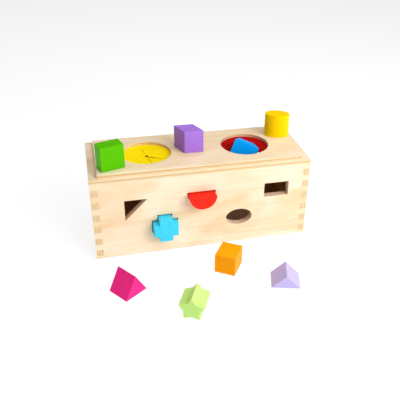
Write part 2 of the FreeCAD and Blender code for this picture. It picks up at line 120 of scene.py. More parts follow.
class Shade:
    """A material's nodes while it is being mixed, read from the piece's own coordinates."""

    def __init__(self, name: str) -> None:
        """Start a material with one surface shader.

        Args:
            name: Name of the new material.
        """
        self.material = bpy.data.materials.new(name)
        self.material.use_nodes = True
        self.tree = self.material.node_tree
        self.tree.nodes.clear()
        self.surface = self.node("ShaderNodeBsdfPrincipled")
        output = self.node("ShaderNodeOutputMaterial")
        self.join(self.surface.outputs["BSDF"], output.inputs["Surface"])
        self.place = self.node("ShaderNodeTexCoord").outputs["Object"]

    def node(self, kind: str) -> bpy.types.Node:
        """Add a node of this kind."""
        return self.tree.nodes.new(kind)

    def join(self, start: Socket, end: Socket) -> None:
        """Link one socket to another."""
        self.tree.links.new(start, end)

    def noise(self, stretch: Sequence[float], detail: float = 4, warp: float = 0,
              rough: float = 0.5) -> Socket:
        """Add a cloudy pattern.

        Args:
            stretch: Pattern cells to the metre along X, Y and Z.
            detail: How many finer layers it has.
            warp: How much the pattern bends.
            rough: How strong the finer layers are.

        Returns:
            The pattern's strength, about 0 to 1.
        """
        mapping = self.node("ShaderNodeMapping")
        mapping.inputs["Scale"].default_value = stretch
        self.join(self.place, mapping.inputs["Vector"])
        cloud = self.node("ShaderNodeTexNoise")
        cloud.inputs["Scale"].default_value = 1
        cloud.inputs["Detail"].default_value = detail
        cloud.inputs["Roughness"].default_value = rough
        cloud.inputs["Distortion"].default_value = warp
        self.join(mapping.outputs["Vector"], cloud.inputs["Vector"])
        return cloud.outputs["Fac"]

    def spread(self, value: Socket, low: float, high: float,
               to_low: float = 0.0, to_high: float = 1.0) -> Socket:
        """Stretch a value's range.

        Args:
            value: The value to stretch.
            low: Where the new range starts.
            high: Where the new range ends.
            to_low: Result at the start.
            to_high: Result at the end.

        Returns:
            The stretched value, held between the two results.
        """
        ranger = self.node("ShaderNodeMapRange")
        self.join(value, ranger.inputs["Value"])
        for label, amount in (("From Min", low), ("From Max", high),
                              ("To Min", to_low), ("To Max", to_high)):
            ranger.inputs[label].default_value = amount
        return ranger.outputs["Result"]

    def mix(self, share: Socket, first: Colour | Socket,
            second: Colour | Socket) -> Socket:
        """Mix two colours.

        Args:
            share: How much of the second colour shows.
            first: Colour or socket at share 0.
            second: Colour or socket at share 1.

        Returns:
            The mixed colour.
        """
        mixer = self.node("ShaderNodeMix")
        mixer.data_type = "RGBA"
        self.join(share, mixer.inputs[0])
        for slot, colour in ((6, first), (7, second)):
            if isinstance(colour, Socket):
                self.join(colour, mixer.inputs[slot])
            else:
                mixer.inputs[slot].default_value = colour
        return mixer.outputs[2]

    def maths(self, operation: str, first: Socket,
              second: float | Socket = 0.0) -> Socket:
        """Add one step of arithmetic.

        Args:
            operation: The operation's name.
            first: First value.
            second: Second value or number.

        Returns:
            The result.
        """
        step = self.node("ShaderNodeMath")
        step.operation = operation
        self.join(first, step.inputs[0])
        if isinstance(second, Socket):
            self.join(second, step.inputs[1])
        else:
            step.inputs[1].default_value = second
        return step.outputs[0]

    def along(self, axis: int) -> Socket:
        """Place along one axis, in metres.

        Args:
            axis: 0, 1 or 2 for X, Y or Z.

        Returns:
            The place, from the origin.
        """
        split = self.node("ShaderNodeSeparateXYZ")
        self.join(self.place, split.inputs[0])
        return split.outputs[axis]

    def relief(self, height: Socket, depth: float, strength: float) -> None:
        """Raise the surface slightly.

        Args:
            height: Pattern that gives the relief.
            depth: Its full depth in metres.
            strength: How much of it shows.
        """
        bump = self.node("ShaderNodeBump")
        bump.inputs["Distance"].default_value = depth
        bump.inputs["Strength"].default_value = strength
        self.join(height, bump.inputs["Height"])
        self.join(bump.outputs["Normal"], self.surface.inputs["Normal"])

    def colour(self, value: Socket) -> None:
        """Give the surface its colour."""
        self.join(value, self.surface.inputs["Base Color"])

    def gloss(self, value: Socket) -> None:
        """Give the surface its roughness."""
        self.join(value, self.surface.inputs["Roughness"])

    def set(self, **numbers: float) -> None:
        """Set plain numbers on the surface shader, words joined by underscores."""
        for label, number in numbers.items():
            self.surface.inputs[label.replace("_", " ").title().replace("Ior", "IOR")].default_value = number


class Finish(ABC):
    """A finish that can dress a piece; each one is mixed once."""

    _mixed: dict["Finish", bpy.types.Material] = {}

    @abstractmethod
    def mixed(self) -> bpy.types.Material:
        """Mix the material."""

    def material(self) -> bpy.types.Material:
        """The finish's material, mixed at its first use.

        Returns:
            The material.
        """
        if self not in Finish._mixed:
            Finish._mixed[self] = self.mixed()
        return Finish._mixed[self]


@dataclass(frozen=True)
class BirchFace(Finish):
    """Face veneer of birch plywood under a thin clear coat."""

    name: str
    grain: Grain
    pale: Colour = tone(248, 230, 200)
    honey: Colour = tone(238, 206, 160)
    vein: Colour = tone(216, 172, 120)

    def mixed(self) -> bpy.types.Material:
        """Cloudy figure, long grain lines and short dark flecks.

        Returns:
            The new material.
        """
        shade = Shade(self.name)

        def cells(along: float, across: float) -> list[float]:
            """Cells to the metre, long along the grain.

            Args:
                along: Cells along the grain.
                across: Cells across it.

            Returns:
                Cells along X, Y and Z.
            """
            stretch = [across] * 3
            stretch[self.grain.value] = along
            return stretch

        figure = shade.noise(cells(9, 26), detail=3, warp=1.2)
        lines = shade.noise(cells(7, 420), detail=5, warp=0.3, rough=0.62)
        flecks = shade.noise(cells(90, 900), detail=2)
        board = shade.mix(shade.spread(figure, 0.36, 0.72), self.pale, self.honey)
        veined = shade.mix(shade.spread(lines, 0.5, 0.84, 0.0, 0.5), board, self.vein)
        shade.colour(shade.mix(shade.spread(flecks, 0.64, 0.78, 0.0, 0.4), veined, self.vein))
        shade.gloss(shade.spread(lines, 0.3, 0.7, 0.42, 0.56))
        shade.relief(lines, 0.00025, 0.22)
        shade.set(specular_ior_level=0.3)
        return shade.material


@dataclass(frozen=True)
class Layered(Finish):
    """A finish that shows the plies of a board."""

    name: str
    across: Across
    start: float
    ply: float

    def wave(self, shade: Shade) -> Socket:
        """Swing once from light to dark and back over every two plies.

        Args:
            shade: The material that is being mixed.

        Returns:
            The wave, from -1 to 1.
        """
        depth = shade.maths("SUBTRACT", shade.along(self.across.value), self.start)
        return shade.maths("SINE", shade.maths("MULTIPLY", depth, math.pi / self.ply))


@dataclass(frozen=True)
class PlyEdge(Layered):
    """Sawn edge of plywood: light long-grain plies between darker end-grain ones."""

    light: Colour = tone(238, 212, 170)
    dark: Colour = tone(212, 174, 124)
    tint: Colour = tone(226, 194, 146)

    def mixed(self) -> bpy.types.Material:
        """Bands one ply wide with a speckle of open pores.

        Returns:
            The new material.
        """
        shade = Shade(self.name)
        band = shade.spread(self.wave(shade), -0.3, 0.3)
        pores = shade.noise((1500, 1500, 1500), detail=3, rough=0.6)
        cloud = shade.noise((60, 60, 60), detail=2)
        layers = shade.mix(band, self.dark, self.light)
        clouded = shade.mix(shade.spread(cloud, 0.3, 0.7, 0.0, 0.4), layers, self.tint)
        shade.colour(shade.mix(shade.spread(pores, 0.55, 0.8, 0.0, 0.5), clouded, self.dark))
        shade.relief(shade.maths("ADD", shade.maths("MULTIPLY", band, 0.4), pores), 0.0002, 0.3)
        shade.set(roughness=0.62, specular_ior_level=0.25)
        return shade.material


@dataclass(frozen=True)
class ScorchedCut(Layered):
    """Wall of a hole burnt out of plywood, browned and lightly sanded."""

    light: Colour = tone(240, 210, 180)
    dark: Colour = tone(198, 152, 116)
    soot: Colour = tone(150, 102, 70)

    def mixed(self) -> bpy.types.Material:
        """Brown bands with sooty glue lines.

        Returns:
            The new material.
        """
        shade = Shade(self.name)
        wave = self.wave(shade)
        band = shade.spread(wave, -0.4, 0.4)
        glue = shade.spread(shade.maths("ABSOLUTE", wave), 0.0, 0.25, 0.6, 0.0)
        cloud = shade.noise((180, 180, 180), detail=4)
        layers = shade.mix(band, shade.mix(cloud, self.dark, self.light), self.light)
        shade.colour(shade.mix(glue, layers, self.soot))
        shade.relief(cloud, 0.0002, 0.3)
        shade.set(roughness=0.7)
        return shade.material


@dataclass(frozen=True)
class BlockPaint(Finish):
    """Satin paint on a hardwood block, thin enough to let a little grain through."""

    name: str
    colour: Colour
    deep: Colour
    grain: Grain = Grain.ALONG_Z

    def mixed(self) -> bpy.types.Material:
        """Even colour with a slightly deeper cloud, soft gloss and faint grain.

        Returns:
            The new material.
        """
        shade = Shade(self.name)
        cells = [520.0] * 3
        cells[self.grain.value] = 40.0
        grain = shade.noise(cells, detail=4, warp=0.2)
        cloud = shade.noise((55, 55, 55), detail=3)
        peel = shade.noise((1800, 1800, 1800), detail=1)
        shade.colour(shade.mix(shade.spread(cloud, 0.35, 0.75, 0.0, 0.5), self.colour, self.deep))
        shade.gloss(shade.spread(cloud, 0.3, 0.7, 0.42, 0.52))
        shade.relief(shade.maths("ADD", shade.maths("MULTIPLY", peel, 0.35), grain), 0.00012, 0.3)
        shade.set(specular_ior_level=0.06)
        return shade.material


@dataclass(frozen=True)
class ElasticSheet(Finish):
    """Dyed elastic sheet with a fine felted surface."""

    name: str
    colour: Colour
    deep: Colour

    def mixed(self) -> bpy.types.Material:
        """Matte colour with a short nap.

        Returns:
            The new material.
        """
        shade = Shade(self.name)
        nap = shade.noise((2600, 2600, 2600), detail=3, rough=0.7)
        cloud = shade.noise((70, 70, 70), detail=2)
        napped = shade.mix(shade.spread(nap, 0.35, 0.75, 0.0, 0.45), self.colour, self.deep)
        shade.colour(shade.mix(shade.spread(cloud, 0.4, 0.8, 0.0, 0.3), napped, self.deep))
        shade.relief(nap, 0.0003, 0.35)
        shade.set(roughness=0.86, specular_ior_level=0.1)
        return shade.material


@dataclass(frozen=True)
class Backlight(Finish):
    """White translucent acrylic lit from behind."""

    name: str
    white: Colour
    glow: float

    def mixed(self) -> bpy.types.Material:
        """Almost even white with a faint cloud.

        Returns:
            The new material.
        """
        shade = Shade(self.name)
        cloud = shade.noise((40, 40, 40), detail=2)
        shade.colour(shade.mix(shade.spread(cloud, 0.3, 0.7), self.white, tone(154, 155, 158)))
        shade.surface.inputs["Emission Color"].default_value = (1.0, 1.0, 1.0, 1.0)
        shade.set(roughness=0.9, specular_ior_level=0.0, emission_strength=self.glow)
        return shade.material


# ---------------------------------------------------------------- bench


@contextmanager
def editing(piece: "Workpiece", kind: Element, test: PlaceTest | None = None) -> Iterator[None]:
    """Work in edit mode on the elements of a piece that pass a test, or on all of them.

    Args:
        piece: The piece to edit.
        kind: What is picked.
        test: Given an element's middle and its normal (an edge's direction), says if it is picked.

    Yields:
        Nothing, while the piece is in edit mode.
    """
    piece.hold()
    bpy.context.tool_settings.mesh_select_mode = [kind is each for each in Element]
    if test:
        piece.pick(kind, test)
    bpy.ops.object.mode_set(mode="EDIT")
    if test is None:
        bpy.ops.mesh.select_all(action="SELECT")
    try:
        yield
    finally:
        bpy.ops.object.mode_set(mode="OBJECT")


class Workpiece:
    """One mesh on the bench."""

    def __init__(self, name: str) -> None:
        """Take up the primitive that was just added.

        Args:
            name: Name of the piece.
        """
        self.obj = bpy.context.active_object
        self.obj.name = name
        self.obj.data.name = name

    @classmethod
    def block(cls, name: str, low: Sequence[float], high: Sequence[float]) -> "Workpiece":
        """Cut a square-edged block of stock.

        Args:
            name: Name of the piece.
            low: Lowest corner.
            high: Highest corner.

        Returns:
            The block, with its place in its mesh.
        """
        low, high = Vector(low), Vector(high)
        bpy.ops.object.select_all(action="DESELECT")
        bpy.ops.mesh.primitive_cube_add(size=1, location=(low + high) / 2, scale=high - low)
        piece = cls(name)
        piece.settle()
        return piece

    @classmethod
    def plane(cls, name: str, size: float = 1.0) -> "Workpiece":
        """Cut a flat square at the origin.

        Args:
            name: Name of the piece.
            size: Length of a side.

        Returns:
            The square.
        """
        bpy.ops.object.select_all(action="DESELECT")
        bpy.ops.mesh.primitive_plane_add(size=size)
        return cls(name)

    @classmethod
    def disc(cls, name: str, corners: int, radius: float = 1.0, filled: bool = True) -> "Workpiece":
        """Cut a flat regular shape with one corner towards +Y.

        Args:
            name: Name of the piece.
            corners: Number of corners.
            radius: From the middle to a corner.
            filled: False for only its rim.

        Returns:
            The flat shape at the origin.
        """
        bpy.ops.object.select_all(action="DESELECT")
        fill = "NGON" if filled else "NOTHING"
        bpy.ops.mesh.primitive_circle_add(vertices=corners, radius=radius, fill_type=fill)
        return cls(name)

    @classmethod
    def rod(cls, name: str, centre: Sequence[float], radius: float, height: float) -> "Workpiece":
        """Cut a round upright rod of stock.

        Args:
            name: Name of the piece.
            centre: Its middle.
            radius: Its radius.
            height: Its height.

        Returns:
            The rod, with its place in its mesh.
        """
        piece = cls.disc(name, ROD_CORNERS, radius)
        piece.thicken(height)
        piece.move(centre)
        return piece

    def hold(self) -> None:
        """Select only this piece and make it active."""
        bpy.ops.object.select_all(action="DESELECT")
        self.obj.select_set(True)
        bpy.context.view_layer.objects.active = self.obj

    def settle(self) -> None:
        """Put the object's place, turn and size into its mesh."""
        self.hold()
        bpy.ops.object.transform_apply(location=True, rotation=True, scale=True)

    def place(self, change: Matrix) -> "Workpiece":
        """Turn, shift or scale the piece about the origin.

        Args:
            change: What is done to it.

        Returns:
            This piece, with the change in its mesh.
        """
        self.obj.matrix_world = change
        self.settle()
        return self

    def move(self, by: Sequence[float]) -> "Workpiece":
        """Shift the piece."""
        return self.place(Matrix.Translation(by))

    def stretch(self, x: float, y: float) -> "Workpiece":
        """Scale a flat piece about the origin."""
        return self.place(Matrix.Diagonal((x, y, 1, 1)))

    def pick(self, kind: Element, test: PlaceTest) -> None:
        """Select some of the mesh by place and direction.

        Args:
            kind: What is picked.
            test: Given an element's middle and its normal (an edge's direction), says if it is picked.
        """
        mesh = self.obj.data
        for group in (mesh.polygons, mesh.edges, mesh.vertices):
            group.foreach_set("select", [False] * len(group))
        if kind is Element.FACE:
            for face in mesh.polygons:
                face.select = test(face.center, face.normal)
        elif kind is Element.EDGE:
            for edge in mesh.edges:
                start, end = (mesh.vertices[v].co for v in edge.vertices)
                edge.select = test((start + end) / 2, (end - start).normalized())
        else:
            for vertex in mesh.vertices:
                vertex.select = test(vertex.co, vertex.normal)

    def thicken(self, depth: float) -> "Workpiece":
        """Raise a flat shape to a closed solid, as deep above the origin as below it.

        Args:
            depth: Its whole depth.

        Returns:
            This piece.
        """
        with editing(self, Element.FACE):
            bpy.ops.mesh.extrude_region_move(TRANSFORM_OT_translate={"value": (0, 0, depth)})
            bpy.ops.mesh.select_all(action="SELECT")
            bpy.ops.mesh.normals_make_consistent(inside=False)
        return self.move((0, 0, -depth / 2))

    def carve(self, cutters: Sequence["Workpiece"]) -> "Workpiece":
        """Cut other pieces' shapes out of this one and clear them away.

        Args:
            cutters: Shapes to cut out, clear of each other.

        Returns:
            This piece.
        """
        cutters[0].hold()
        for cutter in cutters[1:]:
            cutter.obj.select_set(True)
        if len(cutters) > 1:
            bpy.ops.object.join()
        tool = bpy.context.active_object
        self.hold()
        cut = self.obj.modifiers.new("Cut", "BOOLEAN")
        cut.operation = "DIFFERENCE"
        cut.solver = "EXACT"
        cut.object = tool
        bpy.ops.object.modifier_apply(modifier=cut.name)
        bpy.data.objects.remove(tool)
        return self

    def soften(self, width: float, steps: int) -> "Workpiece":
        """Round every sharp edge.

        Args:
            width: How far the rounding reaches.
            steps: Facets in the rounding.

        Returns:
            This piece.
        """
        self.hold()
        rounding = self.obj.modifiers.new("Rounding", "BEVEL")
        rounding.width = width
        rounding.segments = steps
        rounding.limit_method = "ANGLE"
        rounding.angle_limit = SHARP_BEND
        rounding.miter_outer = "MITER_ARC"
        bpy.ops.object.modifier_apply(modifier=rounding.name)
        return self

    def smooth(self) -> "Workpiece":
        """Shade gentle bends smoothly and keep broad faces flat.

        Returns:
            This piece.
        """
        self.hold()
        bpy.ops.object.shade_smooth_by_angle(angle=GENTLE_BEND)
        flats = self.obj.modifiers.new("Flats", "WEIGHTED_NORMAL")
        flats.keep_sharp = True
        bpy.ops.object.modifier_apply(modifier=flats.name)
        return self

    def dress(self, finish: Finish, test: PlaceTest | None = None) -> "Workpiece":
        """Give the piece, or the faces that pass a test, a finish.

        Args:
            finish: The finish.
            test: Given a face's middle and normal, says if it gets this finish.

        Returns:
            This piece.
        """
        self.obj.data.materials.append(finish.material())
        if test is None:
            return self
        with editing(self, Element.FACE, test):
            self.obj.active_material_index = len(self.obj.data.materials) - 1
            bpy.ops.object.material_slot_assign()
        return self

    def span(self) -> tuple[Vector, Vector]:
        """Lowest and highest corner of the piece's own mesh.

        Returns:
            The two corners.
        """
        places = [vertex.co for vertex in self.obj.data.vertices]
        low = Vector(min(place[axis] for place in places) for axis in range(3))
        high = Vector(max(place[axis] for place in places) for axis in range(3))
        return low, high


class Register:
    """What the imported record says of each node: its body and its material slot."""

    def __init__(self, record: dict) -> None:
        """Read the record.

        Args:
            record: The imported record.
        """
        self.slots = {part["node"]: part["material_slot"] for part in record["subparts"]}
        self.bodies = {node: body for body, nodes in record["behaviour"]["bodies"].items() for node in nodes}

    def hand_over(self, piece: Workpiece, node: str) -> None:
        """Let a finished piece stand for its node, ride on its body and report it.

        Args:
            piece: The finished piece.
            node: The node that it stands for.
        """
        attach(piece.obj, self.bodies[node])
        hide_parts(node)
        low, high = piece.span()
        size = " x ".join(f"{side / MM:.1f}" for side in high - low)
        LOG.info("%s: %s mm, %d faces, rides on %s", piece.obj.name, size,
                 len(piece.obj.data.polygons), self.bodies[node])


# ---------------------------------------------------------------- block sections


class Section(ABC):
    """Outline of a block. A hole has the same outline, grown by its clearance."""

    @abstractmethod
    def face(self, grow: float = 0.0) -> Workpiece:
        """Make the flat outline, grown all round by a clearance."""

    def prism(self, depth: float, grow: float = 0.0) -> Workpiece:
        """Make a straight solid of this outline, centred on the origin along its axis."""
        return self.face(grow).thicken(depth)


@dataclass(frozen=True)
class Rectangle(Section):
    """Rectangle or square."""

    width: float
    height: float

    def face(self, grow: float = 0.0) -> Workpiece:
        """Plane stretched to size."""
        return Workpiece.plane("rectangle").stretch(self.width + 2 * grow, self.height + 2 * grow)


@dataclass(frozen=True)
class Oval(Section):
    """Ellipse."""

    width: float
    height: float

    def face(self, grow: float = 0.0) -> Workpiece:
        """Circle stretched both ways."""
        piece = Workpiece.disc("oval", ROUND_CORNERS)
        return piece.stretch(self.width / 2 + grow, self.height / 2 + grow)


@dataclass(frozen=True)
class Rhombus(Section):
    """Four equal sides, leaning to the left, on a level side."""

    side: float
    acute: float

    def face(self, grow: float = 0.0) -> Workpiece:
        """Square on its corner, stretched along its diagonals and laid on a side.

        Args:
            grow: Clearance all round.

        Returns:
            The flat outline at the origin.
        """
        half = math.radians(self.acute) / 2
        side = self.side + 2 * grow / math.sin(2 * half)
        piece = Workpiece.disc("rhombus", 4).stretch(side * math.cos(half), side * math.sin(half))
        return piece.place(Matrix.Rotation(-half, 4, "Z"))


@dataclass(frozen=True)
class Triangle(Section):
    """Triangle with two equal sides, standing on the third."""

    base: float
    height: float

    def face(self, grow: float = 0.0) -> Workpiece:
        """Even triangle stretched to its base and height.

        Args:
            grow: Clearance all round.

        Returns:
            The flat outline at the origin.
        """
        foot = math.atan2(self.height, self.base / 2)
        base = self.base + 2 * grow / math.tan(foot / 2)
        height = self.height + grow + grow / math.cos(foot)
        piece = Workpiece.disc("triangle", 3).stretch(base / math.sqrt(3), height / 1.5)
        return piece.move((0, height / 3 - grow, 0))


@dataclass(frozen=True)
class Trapezoid(Section):
    """Level base and shorter level top."""

    base: float
    top: float
    rise: float

    def widths(self, grow: float) -> tuple[float, float, float]:
        """Base, top and rise when grown all round.

        Args:
            grow: Clearance all round.

        Returns:
            The three lengths.
        """
        slope = (self.base - self.top) / (2 * self.rise)
        middle = (self.base + self.top) / 4 + grow * math.hypot(1, slope)
        rise = self.rise / 2 + grow
        return 2 * (middle + slope * rise), 2 * (middle - slope * rise), 2 * rise

    def face(self, grow: float = 0.0) -> Workpiece:
        """Plane with its upper side drawn in.

        Args:
            grow: Clearance all round.

        Returns:
            The flat outline at the origin.
        """
        base, top, rise = self.widths(grow)
        piece = Workpiece.plane("trapezoid").stretch(base, rise)
        with editing(piece, Element.VERT, lambda place, normal: place.y > 0):
            bpy.ops.transform.resize(value=(top / base, 1, 1), center_override=(0, rise / 2, 0))
        return piece

    def spots(self, grow: float, count: int = 24) -> list[Vector]:
        """Points spread all over the outline's inside, its rim included.

        Args:
            grow: Clearance all round.
            count: Steps across and up.

        Returns:
            The points, level with the outline.
        """
        base, top, rise = self.widths(grow)
        found = []
        for up in range(count + 1):
            share = up / count
            half = (base + (top - base) * share) / 2
            found += [Vector((half * (2 * side / count - 1), rise * (share - 0.5), 0))
                      for side in range(count + 1)]
        return found


@dataclass(frozen=True)
class Cross(Section):
    """Four equal arms."""

    span: float
    arm: float

    def face(self, grow: float = 0.0) -> Workpiece:
        """Square whose sides are drawn out into arms.

        Args:
            grow: Clearance all round.

        Returns:
            The flat outline at the origin.
        """
        arm = self.arm + 2 * grow
        reach = (self.span - self.arm) / 2
        piece = Workpiece.plane("cross", arm)
        for away in (Vector((1, 0, 0)), Vector((0, 1, 0)), Vector((-1, 0, 0)), Vector((0, -1, 0))):
            with editing(piece, Element.EDGE,
                         lambda middle, along: (middle - away * arm / 2).length < arm / 9):
                bpy.ops.mesh.extrude_region_move(TRANSFORM_OT_translate={"value": away * reach})
        return piece


@dataclass(frozen=True)
class Star(Section):
    """Five blunt points, one of them up."""

    outer: float
    inner: float

    def face(self, grow: float = 0.0) -> Workpiece:
        """Ten corners, every other one drawn in.

        Args:
            grow: Clearance all round.

        Returns:
            The flat outline at the origin.
        """
        side = math.sqrt(self.outer**2 + self.inner**2
                         - 2 * self.outer * self.inner * math.cos(math.pi / 5))
        edge = self.outer * self.inner * math.sin(math.pi / 5) / side
        scale = 1 + grow / edge
        piece = Workpiece.disc("star", 10, self.outer * scale)

        def inner_corner(place: Vector, normal: Vector) -> bool:
            """True at every other corner, counted from the top one."""
            step = (math.degrees(math.atan2(place.y, place.x)) - 90) / 36
            return round(step) % 2 == 1

        with editing(piece, Element.VERT, inner_corner):
            draw_in = self.inner / self.outer
            bpy.ops.transform.resize(value=(draw_in, draw_in, 1), center_override=(0, 0, 0))
        return piece


@dataclass(frozen=True)
class HalfRound(Section):
    """Half a disc with its flat side up."""

    radius: float

    def face(self, grow: float = 0.0) -> Workpiece:
        """Circle with its upper half cut off.

        Args:
            grow: Clearance all round.

        Returns:
            The flat outline at the origin.
        """
        piece = Workpiece.disc("half_round", ROUND_CORNERS, self.radius + grow)
        with editing(piece, Element.FACE):
            bpy.ops.mesh.bisect(plane_co=(0, grow, 0), plane_no=(0, 1, 0), clear_outer=True)
        return piece


SQUARE = Rectangle(28 * MM, 28 * MM)
OBLONG = Rectangle(33.5 * MM, 19.5 * MM)
OVAL = Oval(35.5 * MM, 23 * MM)
RHOMBUS = Rhombus(26.5 * MM, 67)
EVEN_TRIANGLE = Triangle(34.3 * MM, 34.3 * MM * math.sqrt(3) / 2)
RIGHT_TRIANGLE = Triangle(27 * MM * math.sqrt(2), 27 * MM / math.sqrt(2))
TRAPEZOID = Trapezoid(36 * MM, 22 * MM, 24 * MM)
CROSS = Cross(33.5 * MM, 18 * MM)
STAR = Star(17.6 * MM, 11 * MM)
HALF_ROUND = HalfRound(18.6 * MM)
UPRIGHT = Matrix.Rotation(math.pi / 2, 4, "X")
# Darker birch tones for the walls' inner faces: painted shade for the inside of the case.
INSIDE_PAINTED_SHADE_BIRCH = tone(230, 188, 136), tone(214, 164, 108), tone(190, 138, 86)


# ---------------------------------------------------------------- case


@dataclass
class Joinery:
    """What every plywood board gets: softened edges, a veneer, and plies where it is cut."""

    softening: float
    layers: int
    cut_slant: float

    def veneer(self, board: Workpiece, across: Across, grain: Grain) -> None:
        """Soften a board's edges and give it its veneer and plies.

        Args:
            board: The board.
            across: Direction of its thickness.
            grain: Direction of its face grain.
        """
        axis, name = across.value, board.obj.name
        low, high = board.span()
        ply = (high[axis] - low[axis]) / self.layers
        board.soften(self.softening, 2).smooth()
        board.dress(BirchFace(f"{name}_veneer", grain))
        board.dress(PlyEdge(f"{name}_plies", across, low[axis], ply),
                    lambda middle, normal: abs(normal[axis]) < self.cut_slant)


@dataclass(frozen=True)
class WallHole:
    """A shape hole in a long wall."""

    section: Section
    across: float
    up: float
    turn: float = 0.0

    def cutter(self, wall_y: float, grow: float, depth: float) -> Workpiece:
        """Make the solid that cuts the hole.

        Args:
            wall_y: Where the wall's middle is.
            grow: Clearance round the block.
            depth: Length of the cutter.

        Returns:
            The cutter in its place.
        """
        solid = self.section.prism(depth, grow)
        solid.place(UPRIGHT @ Matrix.Rotation(math.radians(self.turn), 4, "Z"))
        return solid.move((self.across, wall_y, self.up))


@dataclass
class Case(Joinery):
    """Four finger-jointed walls round a base panel."""

    softening: float = 0.35 * MM
    layers: int = 7
    cut_slant: float = 0.7
    finger: float = 9.3 * MM
    pairs: int = 6
    ply: float = 10 * MM
    clearance: float = 1.0 * MM
    base_ply: float = 5 * MM
    front_holes: tuple[WallHole, ...] = (
        WallHole(RIGHT_TRIANGLE, -93.5 * MM, 72 * MM, 45),
        WallHole(CROSS, -55.5 * MM, 41.3 * MM),
        WallHole(HALF_ROUND, -4.6 * MM, 88 * MM),
        WallHole(OVAL, 49 * MM, 41.3 * MM),
        WallHole(OBLONG, 102.2 * MM, 79.5 * MM),
    )
    back_holes: tuple[WallHole, ...] = (
        WallHole(EVEN_TRIANGLE, -98 * MM, (72 - 34.3 / 3) * MM),
        WallHole(SQUARE, -51 * MM, 41.3 * MM),
        WallHole(STAR, 0.0, 72 * MM),
        WallHole(RHOMBUS, 51 * MM, 41.3 * MM),
        WallHole(TRAPEZOID, 98 * MM, 72 * MM),
    )

    def fingers(self, top: float, odd: bool) -> list[tuple[float, float]]:
        """Heights of every other finger of a corner.

        Args:
            top: Top of the walls.
            odd: True for the second finger down and each other one, False for the rest.

        Returns:
            Low and high end of each.
        """
        first = 1 if odd else 0
        steps = [(top - (k + 1) * self.finger, top - k * self.finger)
                 for k in range(first, 2 * self.pairs, 2)]
        if not odd:
            steps[0] = (steps[0][0], top + self.finger)
            steps.append((-self.finger, top - 2 * self.pairs * self.finger))
        return steps

    def rebate(self) -> Workpiece:
        """Cutter for the step that the base panel sits in."""
        low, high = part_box("base_panel")
        return Workpiece.block("rebate", (low.x, low.y, low.z - self.base_ply), high)

    def wall(self, node: str, across: Across, holes: Sequence[WallHole] = ()) -> Workpiece:
        """Make one wall: a long one with notches and shape holes, or an end one with tabs.

        Args:
            node: The wall's node.
            across: Direction of its thickness, Y on a long wall.
            holes: Its shape holes.

        Returns:
            The wall.
        """
        low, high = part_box(node)
        wall = Workpiece.block(node.replace("panel", "wall"), low, high)
        over = self.ply / 2
        is_long = across is Across.Y
        along = Across.X.value if is_long else Across.Y.value
        cutters = []
        for bottom, top in self.fingers(high.z, odd=is_long):
            for start, end in ((low[along] - over, low[along] + self.ply),
                               (high[along] - self.ply, high[along] + over)):
                near = [low.x - over, low.y - over, bottom]
                far = [high.x + over, high.y + over, top]
                near[along], far[along] = start, end
                cutters.append(Workpiece.block("notch", near, far))
        middle = (low.y + high.y) / 2
        cutters += [hole.cutter(middle, self.clearance, 3 * self.ply) for hole in holes]
        return wall.carve(cutters).carve([self.rebate()])

    def dress(self, wall: Workpiece, across: Across, grain: Grain) -> None:
        """Give a wall its veneer and plies, its browned holes and its inner face darkened with painted
        shade.

        Args:
            wall: The wall.
            across: Direction of its thickness.
            grain: Direction of its face grain.
        """
        low, high = wall.span()
        axis, name = across.value, wall.obj.name
        inner = -math.copysign(1, low[axis])
        self.veneer(wall, across, grain)

        def in_hole(middle: Vector, normal: Vector) -> bool:
            """True on the wall of a shape hole.

            Args:
                middle: A face's middle.
                normal: Its direction.

            Returns:
                True on such a face.
            """
            clear_of_ends = abs(middle.x) < high.x - 2 * self.ply
            clear_of_edges = low.z + self.ply < middle.z < high.z - self.ply
            return abs(normal[axis]) < self.cut_slant and clear_of_ends and clear_of_edges

        if across is Across.Y:
            ply = (high[axis] - low[axis]) / self.layers
            wall.dress(ScorchedCut(f"{name}_cut", across, low[axis], ply), in_hole)
        # Faces turned into the case get the darker birch tones, painted shade inside the case.
        wall.dress(BirchFace(f"{name}_inside", grain, *INSIDE_PAINTED_SHADE_BIRCH),
                   lambda middle, normal: normal[axis] * inner > ALIGNED)

    def build(self, register: Register) -> None:
        """Make, dress and hand over the walls and the base.

        Args:
            register: Where the pieces are handed over.
        """
        for node, across, grain, holes in (
                ("front_panel", Across.Y, Grain.ALONG_X, self.front_holes),
                ("back_panel", Across.Y, Grain.ALONG_X, self.back_holes),
                ("left_end_panel", Across.X, Grain.ALONG_Y, ()),
                ("right_end_panel", Across.X, Grain.ALONG_Y, ())):
            wall = self.wall(node, across, holes)
            self.dress(wall, across, grain)
            register.hand_over(wall, node)
        base = Workpiece.block("base_board", *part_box("base_panel"))
        self.veneer(base, Across.Z, Grain.ALONG_X)
        register.hand_over(base, "base_panel")


# ---------------------------------------------------------------- lid


@dataclass(frozen=True)
class Slit:
    """Width at the middle of the cut that starts a petal, and how far the petal droops."""

    gap: float
    droop: float


def slits(*sizes: tuple[float, float]) -> tuple[Slit, ...]:
    """Slits from the gap and the droop of each, in millimetres."""
    return tuple(Slit(gap * MM, droop * MM) for gap, droop in sizes)


